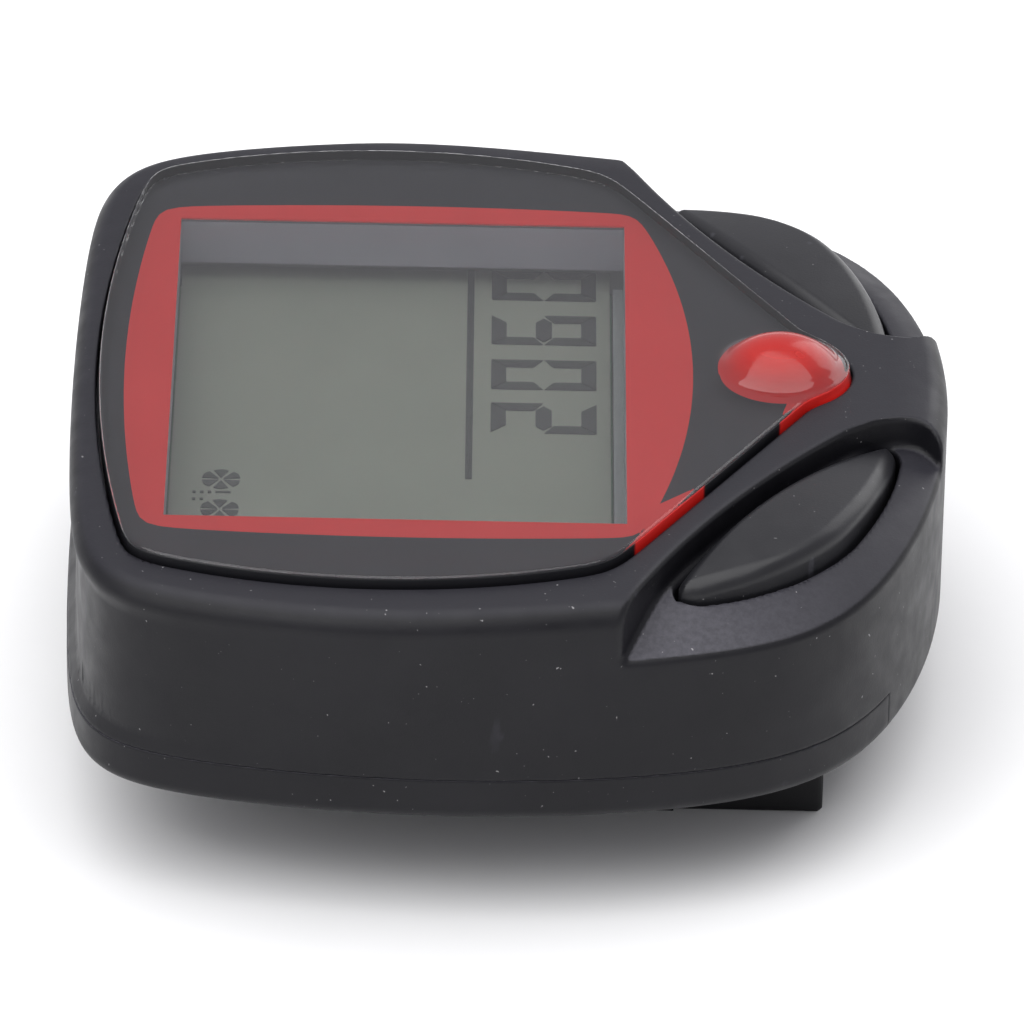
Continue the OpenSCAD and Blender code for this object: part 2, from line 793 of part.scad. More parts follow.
// The red areas: the ring, the disc under the dome, and two tails that run out to the near lens edge
module red_plan() {
  difference() {
    ring_outline();
    window_outline();
  }
  intersection() {
    lens_outline(0.1);
    union() {
      translate([0, dome_y]) circle(r = dome_r + 0.05);
      polygon([[-3.6, -13.2], [-5.35, -12.85], [-6.5, -13.8], [-3, -17.5], [1, -17.5], [0, -14]]);
      polygon([
        [-10.9, -9.6], [-12.97, -7.5], [-14.2, -6.2], [-14.8, -6.7],
        [-17.9, -5.7], [-19.5, -5.6], [-19.5, -9.5], [-12, -12]
      ]);
    }
  }
}

module lens_red_print() {
  color("#c83232") slab(lens_z - print_t, lens_z) red_plan();
}

module lens_black_print() {
  color("#1e1e20") slab(lens_z - print_t, lens_z) difference() {
    lens_outline(0.1);
    window_outline();
    red_plan();
  }
}

module lens_tape() {
  color("#4a4a4e") slab(tape_z, tape_z + tape_t) difference() {
    lens_outline(0.4);
    window_outline(1);
  }
}

module lens() {
  ball_r = (dome_r * dome_r + dome_h * dome_h) / (2 * dome_h);
  top_z = rim_z + lens_proud;
  color("#b8c4cc", 0.4) union() {
    slab(lens_z, top_z) lens_outline();
    intersection() {
      translate([0, dome_y, top_z + dome_h - ball_r]) sphere(r = ball_r, $fn = 96);
      translate([0, dome_y, lens_z + 0.5]) cylinder(h = 5, r = dome_r + 0.3);
    }
  }
}

module right_button() {
  color("#2c2c31") button();
}

module left_button() {
  color("#2c2c31") mirror([1, 0, 0]) button();
}

bracket_base();
bracket_pad();
release_tab();
left_contact_pin();
right_contact_pin();
bottom_housing();
top_housing();
housing_screws();
contact_studs();
stud_springs();
battery();
battery_holder();
battery_plus_clip();
battery_minus_leaf();
battery_cover();
cover_seal();
circuit_board();
chip_blob();
watch_crystal();
chip_capacitors();
chip_resistors();
switch_domes();
zebra_strips();
lcd_reflector();
lcd_rear_glass();
lcd_segments();
lcd_front_glass();
lcd_polarizer();
lcd_frame();
lens_tape();
lens_black_print();
lens_red_print();
lens();
left_button();
right_button();
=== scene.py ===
import math

import bpy
import numpy as np
from mathutils import Matrix, Vector


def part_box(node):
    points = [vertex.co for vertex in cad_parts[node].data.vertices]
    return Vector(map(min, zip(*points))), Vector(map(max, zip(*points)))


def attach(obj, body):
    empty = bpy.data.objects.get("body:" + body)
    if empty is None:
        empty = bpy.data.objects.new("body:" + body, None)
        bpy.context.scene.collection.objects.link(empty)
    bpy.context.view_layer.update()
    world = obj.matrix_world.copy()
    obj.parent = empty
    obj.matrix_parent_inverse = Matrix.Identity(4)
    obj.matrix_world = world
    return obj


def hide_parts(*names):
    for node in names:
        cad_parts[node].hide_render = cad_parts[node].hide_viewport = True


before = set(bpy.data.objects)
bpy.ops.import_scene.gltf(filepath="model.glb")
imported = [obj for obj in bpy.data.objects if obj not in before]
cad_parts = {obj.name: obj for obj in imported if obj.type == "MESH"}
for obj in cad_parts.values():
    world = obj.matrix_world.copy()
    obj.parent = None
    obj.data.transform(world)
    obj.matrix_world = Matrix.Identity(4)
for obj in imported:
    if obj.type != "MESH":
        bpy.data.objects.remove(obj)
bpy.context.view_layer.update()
MM = 0.001

# ---------------------------------------------------------------- camera
TARGET = Vector((-0.2, -0.1, 16.9)) * MM
DISTANCE = 584.5 * MM
FOCAL = 425.4
ELEVATION, YAW, ROLL = (math.radians(d) for d in (28.5, -0.43, 1.35))
SHIFT_UP = 6.86 * MM


def make_camera():
    level = Vector((math.cos(YAW), math.sin(YAW), 0))
    forward = level * math.cos(ELEVATION) - Vector((0, 0, math.sin(ELEVATION)))
    flat_right = forward.cross(Vector((0, 0, 1))).normalized()
    flat_up = flat_right.cross(forward)
    right = flat_right * math.cos(ROLL) + flat_up * math.sin(ROLL)
    up = flat_up * math.cos(ROLL) - flat_right * math.sin(ROLL)
    data = bpy.data.cameras.new("camera")
    data.lens, data.sensor_width = FOCAL, 36
    data.clip_start, data.clip_end = 0.01, 50
    cam = bpy.data.objects.new("camera", data)
    bpy.context.scene.collection.objects.link(cam)
    turn = Matrix((right, up, -forward)).transposed().to_4x4()
    cam.matrix_world = Matrix.Translation(TARGET - forward * DISTANCE - up * SHIFT_UP) @ turn
    bpy.context.scene.camera = cam


make_camera()


# ---------------------------------------------------------------- sizes from the CAD, in mm
def corners(node):
    low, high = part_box(node)
    return np.array(low) / MM, np.array(high) / MM


shell_low, shell_high = corners("top_housing")
base_low, base_high = corners("bottom_housing")
LENS_LOW, LENS_HIGH = corners("lens")
RIM = shell_high[2]
UNIT = shell_low[2]
PARTING = UNIT + 2.2
LENS_Z = LENS_LOW[2]
LENS_TOP = RIM + 0.5
TAPE_Z = LENS_Z - 0.2
RECESS_Z = RIM - 1.6
RECESS_CEILING = RIM - 4.1
BUTTON_LOW = corners("left_button")[0][2]
FLANGE_TOP = RIM - 4.2

# ---------------------------------------------------------------- sizes that follow the CAD's shapes, in mm
BODY_W, BODY_L = 48.4, 42.4
WALL_T = 1.5
DECK_T = 1.5
FLARE, FLARE_START, FLARE_LENGTH = 1.0, -6.0, 14.0
SHOULDER = 1.0
FOOT_EDGE = 0.7
RIM_BAND_W, RIM_BAND_DROP = 2.6, 0.3
END_INSET = 0.45
WINDOW_C, WINDOW_HALF = (0, 5.35), (15.85, 11.45)
LENS_GAP = 0.15
PRINT_DEPTH = 0.02
# stretches of the lens edge, by Y, that carry a painted reflection of the red print
EDGE_RED_REFLECTION = ((-6.0, -9.2), (-13.0, -20.0))
DOME_Y, DOME_R, DOME_H = -13.1, 2.9, 1.3
NOSE_Y, NOSE_R, NOSE_FILLET = -12.9, 3.5, 0.6
RECESS_C, RECESS_R = (44.6, -60.5), 59.0
NOSE_HALF, NOSE_CORNER, NOSE_FRONT = 3.9, 3.0, 0.15 - BODY_L / 2
RECESS_FILLET = 2.0
RECESS_WALL = 1.3
LEDGE_C, LEDGE_R, LEDGE_SLOPE = (4.5, -4.25), 15.45, 0.4
LEAF_SIDE, LEAF_SIDE_R = (-8.6, 0.2), 29.7
LEAF_END, LEAF_END_R = (3.1, 6.2), 24.9
LEAF_TIP, LEAF_TIP_R = (12.3, -13.5), 9.0
LEAF_STEP = 0.55
LEAF_CORNER = 1.6
LEAF_GAP = 0.22
BUTTON_C = (13.0, -13.6)
CROWN_R = 43.0
CROWN_TOP = RIM - 1.1 + 0.85
FLANGE_W = 0.5
TONGUE_HALF, TONGUE_Y = 15.0, -18.0
COVER_Y, COVER_HOLE, LUG_HOLE = -2.5, 11.95, 12.85
LUG_ANGLES, LUG_SLOPE, LUG_COS = (30, 150, 270), 0.306, 0.956
STUD, STUD_HOLE, PIN_HOLE = (3.5, 10.9), 1.42, 0.86
SCREWS, SCREW_HOLE = ((20.0, 13.2), (20.1, -4.0)), 1.35
RAIL_IN, RAIL_W, RAIL_HALF, HOOK_IN = 13.4, 1.6, 8.3, 11.95
TRACK = UNIT - 2.6
TRACK_TOP = UNIT - 1.2
BRACKET_HALF, BRACKET_REAR, BRACKET_FRONT = 13.2, -15.4, 12.8
SADDLE_R, SADDLE_DROP = 13.5, 10.686
TIE_IN, TIE_OUT, TIE_LOW, TIE_HIGH = 6.4, 9.6, 3.3, 4.6
TAB_LOW = UNIT - 2.5
TAB_T = 1.2
TAB_ROOT, TAB_END = -9.9, -19.3
GROOVE = 0.12


# ---------------------------------------------------------------- outlines as distances, negative inside
def reach(a, c, r):
    b = c[0] * np.cos(a) + c[1] * np.sin(a)
    return b + np.sqrt(b * b - c[0] ** 2 - c[1] ** 2 + r * r)


def line_reach(a, normal, d):
    s = np.cos(a - normal)
    return np.where(s > 0.05, d / np.maximum(s, 0.05), 1000.0)


def soft_min(values, n):
    low = np.minimum.reduce(values)
    return low * sum((v / low) ** -n for v in values) ** (-1.0 / n)


def wall_reach(a):
    end, side, nose, side_y, blend = 295.0, 54.0, 42.7, 2.2, 12.6
    return soft_min([
        reach(a, (0, BODY_L / 2 - end), end),
        reach(a, (0, nose - BODY_L / 2), nose),
        reach(a, (BODY_W / 2 - side, side_y), side),
        reach(a, (side - BODY_W / 2, side_y), side),
    ], blend)


def lens_reach(a):
    top, top_r, side, side_r, side_y = 19.8, 100.0, 22.15, 29.0, 6.0
    flank, flank_d, blend = math.radians(-60.4), 14.15, 44
    return soft_min([
        reach(a, (0, top - top_r), top_r),
        reach(a, (side - side_r, side_y), side_r),
        reach(a, (side_r - side, side_y), side_r),
        line_reach(a, flank, flank_d),
        line_reach(a, math.pi - flank, flank_d),
    ], blend)


def polar_distance(outline, x, y):
    a, r = np.arctan2(y, x), np.hypot(x, y)
    edge = outline(a)
    slope = (outline(a + 1e-4) - outline(a - 1e-4)) / 2e-4
    return (r - edge) / np.sqrt(1 + (slope / edge) ** 2)


def circle(x, y, c, r):
    return np.hypot(x - c[0], y - c[1]) - r


def box2(x, y, c, half):
    dx, dy = np.abs(x - c[0]) - half[0], np.abs(y - c[1]) - half[1]
    return np.hypot(np.maximum(dx, 0), np.maximum(dy, 0)) + np.minimum(np.maximum(dx, dy), 0)


def both(a, b, r=0.0):
    """Intersection, with its outer edge rounded."""
    if r == 0:
        return np.maximum(a, b)
    return np.minimum(-r, np.maximum(a, b)) + np.hypot(np.maximum(r + a, 0), np.maximum(r + b, 0))


def either(a, b, r=0.0):
    """Union, with its inner corner filled."""
    if r == 0:
        return np.minimum(a, b)
    return np.maximum(r, np.minimum(a, b)) - np.hypot(np.maximum(r - a, 0), np.maximum(r - b, 0))


def without(a, b, r=0.0):
    return both(a, -b, r)


def wall2(x, y):
    return polar_distance(wall_reach, x, y)


def lens2(x, y):
    return either(polar_distance(lens_reach, x, y), circle(x, y, (0, NOSE_Y), NOSE_R), NOSE_FILLET)


def smooth(t):
    t = np.clip(t, 0, 1)
    return t * t * (3 - 2 * t)


def flared(x, y, z):
    """The wall's outline, which grows sideways towards the rim and leans in at the 12 o'clock end."""
    share = np.clip((z - PARTING) / (RIM - SHOULDER - PARTING), 0, 1)
    widen = 1 + share * FLARE * 2 / BODY_W * smooth((y - FLARE_START) / FLARE_LENGTH)
    rise = np.clip((z - PARTING) / 0.8, 0, 1)
    shorten = 1 + END_INSET / (BODY_L / 2) * smooth((RIM - 0.7 - z) / 1.2) * np.clip(y / 15, 0, 1) * rise
    return wall2(x / widen, y * shorten)


def recess2(x, y):
    x = np.abs(x)
    nose = both(NOSE_HALF - x, NOSE_FRONT - y, NOSE_CORNER)
    return both(circle(x, y, RECESS_C, RECESS_R), nose, RECESS_FILLET)


def leaf2(x, y):
    x = np.abs(x)
    outer = both(circle(x, y, LEAF_SIDE, LEAF_SIDE_R), circle(x, y, LEAF_END, LEAF_END_R), LEAF_CORNER)
    inner = both(outer, circle(x, y, RECESS_C, RECESS_R - LEAF_STEP), 0.3)
    return both(inner, circle(x, y, LEAF_TIP, LEAF_TIP_R), 0.6)


# ---------------------------------------------------------------- solids
def box3(x, y, z, low, high, r=0.0):
    dx = np.abs(x - (low[0] + high[0]) / 2) - (high[0] - low[0]) / 2 + r
    dy = np.abs(y - (low[1] + high[1]) / 2) - (high[1] - low[1]) / 2 + r
    dz = np.abs(z - (low[2] + high[2]) / 2) - (high[2] - low[2]) / 2 + r
    outside = np.sqrt(np.maximum(dx, 0) ** 2 + np.maximum(dy, 0) ** 2 + np.maximum(dz, 0) ** 2)
    return outside + np.minimum(np.maximum(np.maximum(dx, dy), dz), 0) - r


def ledge_floor(x, y):
    d = circle(x, y, LEDGE_C, LEDGE_R)
    crease = 0.5
    return RECESS_Z - LEDGE_SLOPE * 0.5 * (d + np.sqrt(d * d + crease))


def top_shell(x, y, z):
    wall = flared(x, y, z)
    band = np.clip((wall + RIM_BAND_W) / RIM_BAND_W, 0, 1)
    block = both(both(wall, z - RIM + RIM_BAND_DROP * band * band, SHOULDER), PARTING + 0.02 - z, 0.06)
    xc = np.abs(x)
    recess = recess2(xc, y)
    dip = both(recess, (ledge_floor(xc, y) - z) * 0.93, 0.35)
    f = without(block, dip, 0.28)
    lens = lens2(x, y) - LENS_GAP
    f = without(f, both(lens, TAPE_Z - z), 0.16)
    f = np.maximum(f, -box2(x, y, WINDOW_C, WINDOW_HALF))
    inner = wall2(x, y) + WALL_T
    hollow = np.maximum(inner, z - (TAPE_Z - DECK_T))
    hollow = np.maximum(hollow, -np.maximum(recess - RECESS_WALL, RECESS_CEILING - z))
    f = np.maximum(f, -hollow)
    f = without(f, leaf2(x, y) - LEAF_GAP, 0.22)
    tongue = both(both(wall2(x, y), UNIT - z, FOOT_EDGE), -inner, 0.1)
    tongue = both(tongue, np.maximum(xc - TONGUE_HALF, y - TONGUE_Y), 0.06)
    return np.minimum(f, np.maximum(tongue, z - PARTING - 0.4))


def bottom_shell(x, y, z):
    xc = np.abs(x)
    wall = wall2(x, y)
    block = both(both(wall, UNIT - z, FOOT_EDGE), z - PARTING + 0.02, 0.06)
    floor_t = 1.6
    f = np.maximum(block, -np.maximum(wall + WALL_T, UNIT + floor_t - z))
    tongue = np.maximum(xc - TONGUE_HALF - 0.02, np.maximum(y - TONGUE_Y, -wall - WALL_T - 0.05))
    f = without(f, tongue, 0.06)
    opening = circle(x, y, (0, COVER_Y), COVER_HOLE)
    for degrees in LUG_ANGLES:
        ux, uy = math.cos(math.radians(degrees)), math.sin(math.radians(degrees))
        along, across = x * ux + (y - COVER_Y) * uy, np.abs((y - COVER_Y) * ux - x * uy)
        wedge = (across - np.maximum(along, 0) * LUG_SLOPE) * LUG_COS
        notch = np.maximum(wedge, circle(x, y, (0, COVER_Y), LUG_HOLE))
        opening = np.minimum(opening, np.maximum(notch, -along))
    f = without(f, opening, 0.15)
    f = without(f, np.maximum(circle(xc, y, STUD, STUD_HOLE), z - UNIT - 0.6), 0.08)
    for at in SCREWS:
        f = without(f, np.maximum(circle(xc, y, at, SCREW_HOLE), z - UNIT - 0.9), GROOVE)
    foot, slack = TRACK + 0.15, 0.15
    rail = box3(xc, y, z, (RAIL_IN, -RAIL_HALF, foot), (RAIL_IN + RAIL_W, RAIL_HALF, UNIT + 0.3), 0.15)
    hook = box3(xc, y, z, (HOOK_IN, -RAIL_HALF, foot), (RAIL_IN + 0.2, RAIL_HALF, TRACK_TOP - slack), 0.15)
    return np.minimum(f, np.minimum(rail, hook))


def bracket(x, y, z):
    """The bracket, with its saddle, side tracks, tie channels, pin holes, tab slot and cable inlet."""
    xc, far = np.abs(x), 40
    f = box3(x, y, z, (-BRACKET_HALF, BRACKET_REAR, 0), (BRACKET_HALF, BRACKET_FRONT, UNIT - 0.2), 0.35)
    f = without(f, np.hypot(y, z + SADDLE_DROP) - SADDLE_R, 0.2)
    f = without(f, box3(xc, y, z, (11.7, -8.5, TRACK), (20, 25, TRACK_TOP)), GROOVE)
    f = without(f, box3(xc, y, z, (TIE_IN, -30, TIE_LOW), (TIE_OUT, 30, TIE_HIGH), 0.1), GROOVE)
    f = without(f, np.maximum(circle(xc, y, STUD, PIN_HOLE), 0.8 - z), GROOVE)
    f = without(f, box3(x, y, z, (-5.3, -far, 1.7), (5.3, TAB_ROOT + 0.8, 20)), GROOVE)
    inlet_r, inlet_z, inlet_start = 1.0, 1.5, 9.2
    return without(f, np.maximum(np.hypot(y - STUD[1], z - inlet_z) - inlet_r, inlet_start - x), GROOVE)


def release_tab(x, y, z):
    """A sprung neck with a round root, the ridge that catches the computer, and a thumb pad with a lip."""
    neck_half, ridge_half, pad_half = 5, 3.5, 8
    root_r = TAB_T / 2
    neck = box3(x, y, z, (-neck_half, TAB_END + 1, TAB_LOW), (neck_half, TAB_ROOT, TAB_LOW + TAB_T), 0.2)
    root = np.maximum(np.hypot(y - TAB_ROOT, z - TAB_LOW - root_r) - root_r, np.abs(x) - neck_half)
    ridge = box3(x, y, z, (-ridge_half, -12.6, TAB_LOW + root_r), (ridge_half, -11.6, UNIT - 0.15), 0.2)
    pad = box3(x, y, z, (-pad_half, TAB_END, TAB_LOW), (pad_half, -16.9, TAB_LOW + TAB_T), 0.3)
    lip = box3(x, y, z, (-pad_half, TAB_END, TAB_LOW), (pad_half, -18.4, TAB_LOW + 1.7), 0.3)
    return either(either(np.minimum(neck, root), ridge), either(pad, lip, 0.2), 0.3)


def leaf_button(x, y, z):
    """A leaf-shaped cap with a domed top and a rounded edge, on a flange that keeps it in the housing."""
    xc = np.abs(x)
    sphere = np.hypot(circle(xc, y, BUTTON_C, 0), z - (CROWN_TOP - CROWN_R)) - CROWN_R
    cap = np.maximum(both(leaf2(x, y), sphere, 0.75), BUTTON_LOW - z)
    plan = np.maximum(leaf2(x, y) - FLANGE_W, wall2(x, y) + WALL_T + 0.15)
    flange = np.maximum(plan, np.maximum(z - FLANGE_TOP, BUTTON_LOW - z))
    return np.minimum(cap, flange)


def lens_solid(x, y, z):
    plate = both(both(lens2(x, y), z - LENS_TOP, 0.18), LENS_Z - PRINT_DEPTH - z, 0.05)
    ball = (DOME_R ** 2 + DOME_H ** 2) / (2 * DOME_H)
    dome = np.sqrt(x * x + (y - DOME_Y) ** 2 + (z - (LENS_TOP + DOME_H - ball)) ** 2) - ball
    dome = np.maximum(dome, LENS_Z + 0.5 - z)
    return either(plate, dome, 0.25)


# ---------------------------------------------------------------- meshes from solids
def gradient(f, p, h=2e-3):
    g = np.empty_like(p)
    for k in range(3):
        step = np.zeros(3)
        step[k] = h
        a, b = p + step, p - step
        g[:, k] = (f(a[:, 0], a[:, 1], a[:, 2]) - f(b[:, 0], b[:, 1], b[:, 2])) / (2 * h)
    return g


def unit(v):
    return v / np.maximum(np.linalg.norm(v, axis=-1), 1e-9)[..., None]


def skin(f, xs, ys, zs):
    """Vertices, quads and corner normals of the surface f = 0: dual contouring on a grid of lines."""
    lines = (xs, ys, zs)
    shape = (len(xs), len(ys), len(zs))
    field = np.broadcast_to(f(xs[:, None, None], ys[None, :, None], zs[None, None, :]), shape)
    inside = field < 0
    n = np.zeros([s - 1 for s in shape], np.int8)
    for i in (0, 1):
        for j in (0, 1):
            for k in (0, 1):
                n += inside[i:i + n.shape[0], j:j + n.shape[1], k:k + n.shape[2]]
    cells = np.argwhere((n > 0) & (n < 8))
    index = np.full(n.shape, -1, np.int64)
    index[tuple(cells.T)] = np.arange(len(cells))
    quads, cuts = [], []
    for axis in range(3):
        b, c = [(1, 2), (2, 0), (0, 1)][axis]
        first, second = [slice(None)] * 3, [slice(None)] * 3
        first[axis], second[axis] = slice(0, -1), slice(1, None)
        at = np.argwhere(inside[tuple(first)] != inside[tuple(second)])
        at = at[(at[:, b] > 0) & (at[:, c] > 0) & (at[:, b] < n.shape[b]) & (at[:, c] < n.shape[c])]
        end = at.copy()
        end[:, axis] += 1
        low, high = lines[axis][at[:, axis]], lines[axis][end[:, axis]]
        f_low, f_high = field[tuple(at.T)], field[tuple(end.T)]
        out = f_low < 0
        p = np.stack([lines[a][at[:, a]] for a in range(3)], 1)
        for turn in range(3):
            p[:, axis] = low + (high - low) * f_low / (f_low - f_high)
            value = f(p[:, 0], p[:, 1], p[:, 2])
            same = (value < 0) == (f_low < 0)
            low, f_low = np.where(same, p[:, axis], low), np.where(same, value, f_low)
            high, f_high = np.where(same, high, p[:, axis]), np.where(same, f_high, value)
            f_low, f_high = np.where(f_low == f_high, -1e-9, f_low), np.where(f_low == f_high, 1e-9, f_high)
        ring = []
        for du, dv in ((-1, -1), (0, -1), (0, 0), (-1, 0)):
            cell = at.copy()
            cell[:, b] += du
            cell[:, c] += dv
            ring.append(index[tuple(cell.T)])
        ring = np.stack(ring, 1)
        ring[~out] = ring[~out][:, ::-1]
        quads.append(ring)
        cuts.append(p)
    quads, cuts = np.concatenate(quads), np.concatenate(cuts)
    facing = unit(gradient(f, cuts))
    size = len(cells)

    def gather(values):
        return sum(np.bincount(quads[:, k], values, size) for k in range(4))

    count = np.maximum(gather(np.ones(len(quads))), 1)
    mean = np.stack([gather(cuts[:, a]) for a in range(3)], 1) / count[:, None]
    blend = np.stack([gather(facing[:, a]) for a in range(3)], 1) / count[:, None]
    square = np.empty((size, 3, 3))
    for a in range(3):
        for b in range(3):
            square[:, a, b] = gather(facing[:, a] * facing[:, b])
    height = (facing * cuts).sum(1)
    target = np.stack([gather(facing[:, a] * height) for a in range(3)], 1)
    target -= np.einsum("nab,nb->na", square, mean)
    square += 0.04 * count[:, None, None] * np.eye(3)
    points = mean + np.linalg.solve(square, target[..., None])[..., 0]
    for a in range(3):
        points[:, a] = np.clip(points[:, a], lines[a][cells[:, a]], lines[a][cells[:, a] + 1])
    sharp = np.linalg.norm(blend, axis=1) < 0.985
    slope = gradient(f, points)
    shift = f(points[:, 0], points[:, 1], points[:, 2]) / np.maximum((slope * slope).sum(1), 0.05)
    points -= np.where(sharp, 0, np.clip(shift, -0.1, 0.1))[:, None] * slope
    normals = unit(gradient(f, points, 0.01))[quads]
    face, corner = np.nonzero(sharp[quads])
    own = points[quads[face, corner]]
    near = own + 0.35 * (points[quads].mean(1)[face] - own)
    normals[face, corner] = unit(gradient(f, near))
    return points, quads, normals


def new_piece(name, points, quads, normals, material, body, *nodes):
    mesh = bpy.data.meshes.new(name)
    mesh.vertices.add(len(points))
    mesh.vertices.foreach_set("co", (points * MM).astype(np.float32).ravel())
    mesh.loops.add(quads.size)
    mesh.loops.foreach_set("vertex_index", quads.astype(np.int32).ravel())
    mesh.polygons.add(len(quads))
    mesh.polygons.foreach_set("loop_start", np.arange(0, quads.size, 4, dtype=np.int32))
    mesh.polygons.foreach_set("loop_total", np.full(len(quads), 4, np.int32))
    mesh.update(calc_edges=True)
    mesh.shade_smooth()
    mesh.normals_split_custom_set(normals.reshape(-1, 3).tolist())
    mesh.materials.append(material)
    ob = bpy.data.objects.new(name, mesh)
    bpy.context.scene.collection.objects.link(ob)
    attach(ob, body)
    if nodes:
        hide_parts(*nodes)
    return ob


def grid(low, high, step):
    n = max(2, int(round((high - low) / step)) + 1)
    return np.linspace(low, high, n)


def joined(*parts):
    out = np.unique(np.round(np.concatenate(parts), 5))
    keep = np.concatenate([[True], np.diff(out) > 0.02])
    return out[keep]


# ---------------------------------------------------------------- materials
class Graph:
    """A new material's node tree, with short ways to add the nodes used here."""

    def __init__(self, name):
        self.material = bpy.data.materials.new(name)
        self.material.use_nodes = True
        self.nodes = self.material.node_tree.nodes
        self.link = self.material.node_tree.links.new
        self.surface = self.nodes["Principled BSDF"]
        self.at = self.new("TexCoord").outputs["Object"]

    def new(self, kind):
        return self.nodes.new("ShaderNode" + kind)

    def noise(self, size, detail=2.0, roughness=0.5):
        node = self.new("TexNoise")
        node.inputs["Scale"].default_value = 1 / size
        node.inputs["Detail"].default_value = detail
        node.inputs["Roughness"].default_value = roughness
        self.link(self.at, node.inputs["Vector"])
        return node.outputs["Fac"]

    def ramp(self, value, low, high, a, b):
        node = self.new("MapRange")
        node.inputs["From Min"].default_value, node.inputs["From Max"].default_value = low, high
        node.inputs["To Min"].default_value, node.inputs["To Max"].default_value = a, b
        self.link(value, node.inputs["Value"])
        return node.outputs["Result"]

    def maths(self, operation, a, b=None):
        node = self.new("Math")
        node.operation = operation
        self.link(a, node.inputs[0])
        if b:
            self.link(b, node.inputs[1])
        return node.outputs["Value"]

    def times(self, a, b):
        return self.maths("MULTIPLY", a, b)

    def axes(self, vector):
        node = self.new("SeparateXYZ")
        self.link(vector, node.inputs[0])
        return node.outputs

    def between(self, below, top, factor):
        """A colour that goes from `below` to the plain colour `top`. `below` is a colour or an output."""
        node = self.new("Mix")
        node.data_type = "RGBA"
        if isinstance(below, tuple):
            node.inputs["A"].default_value = (*below, 1)
        else:
            self.link(below, node.inputs["A"])
        node.inputs["B"].default_value = (*top, 1)
        self.link(factor, node.inputs["Factor"])
        return node.outputs["Result"]

    def blend(self, first, second, factor):
        """Two shaders mixed by a number or by an output."""
        node = self.new("MixShader")
        if isinstance(factor, float):
            node.inputs["Fac"].default_value = factor
        else:
            self.link(factor, node.inputs["Fac"])
        self.link(first.outputs[0], node.inputs[1])
        self.link(second.outputs[0], node.inputs[2])
        return node

    def finish(self, shader):
        self.link(shader.outputs[0], self.nodes["Material Output"].inputs["Surface"])
        return self.material


DUST = (0.5, 0.49, 0.5)


def plastic(name, base, light, rough=(0.42, 0.55), grain=0.00012, bump=0.18, specular=0.5,
            dust=0.0, edge_wear_and_sheen=0, painted_ledge_highlight=None):
    """Grained plastic: patches from `base` to `light`, paler convex edges that are partly wear and partly a
    painted highlight, and dust specks.

    With a ledge colour given, faces that look up are paler as painted light from above, and the button
    ledges take that colour as a painted highlight.
    """
    g = Graph(name)
    colour = g.between(base, light, g.ramp(g.noise(0.006, 3.0), 0.3, 0.7, 0, 1))
    # paler convex edges: partly wear, partly a painted highlight along the edges
    if edge_wear_and_sheen:
        convex = g.ramp(g.new("NewGeometry").outputs["Pointiness"], 0.55, 0.64, 0, 1)
        edge = g.times(convex, g.ramp(g.noise(0.0008, 3.0), 0.35, 0.65, 0.3, 1))
        colour = g.between(colour, tuple(c * edge_wear_and_sheen for c in light), edge)
    if painted_ledge_highlight:
        place, facing = g.axes(g.at), g.axes(g.new("NewGeometry").outputs["Normal"])
        low = g.ramp(place["Z"], (RIM - 1.45) * MM, (RIM - 1.75) * MM, 0, 1)
        flat = g.ramp(facing["Z"], 0.7, 0.88, 0, 1)
        back = g.ramp(place["Y"], -16.5 * MM, -8.5 * MM, 0.15, 1)
        patchy = g.ramp(g.noise(0.00035, 3.0, 0.7), 0.35, 0.65, 0.6, 1)
        # painted light: faces that look up are paler, as if lit from above
        colour = g.between(colour, tuple(2.1 * c for c in light), flat)
        # painted highlight: grainy paler patches on the up-facing button ledges, fading towards the nose
        colour = g.between(colour, painted_ledge_highlight, g.times(g.times(low, flat), g.times(back, patchy)))
    if dust:
        colour = g.between(colour, DUST, g.ramp(g.noise(0.00024, 1.0), 0.77, 0.83, 0, dust))
    g.link(colour, g.surface.inputs["Base Color"])
    g.link(g.ramp(g.noise(0.0015, 4.0), 0.3, 0.7, *rough), g.surface.inputs["Roughness"])
    g.surface.inputs["Specular IOR Level"].default_value = specular
    bumps = g.new("Bump")
    bumps.inputs["Strength"].default_value = bump
    bumps.inputs["Distance"].default_value = grain * 0.25
    g.link(g.noise(grain, 2.0, 0.6), bumps.inputs["Height"])
    g.link(bumps.outputs["Normal"], g.surface.inputs["Normal"])
    return g.material


def metal(name, colour, rough, grain=0.0002):
    m = plastic(name, colour, tuple(min(1, c * 1.12) for c in colour), rough, grain, 0.1)
    m.node_tree.nodes["Principled BSDF"].inputs["Metallic"].default_value = 1
    return m


def glass(shader, tint, transmission, ior):
    shader.inputs["Base Color"].default_value = (*tint, 1)
    shader.inputs["Transmission Weight"].default_value = transmission
    shader.inputs["IOR"].default_value = ior


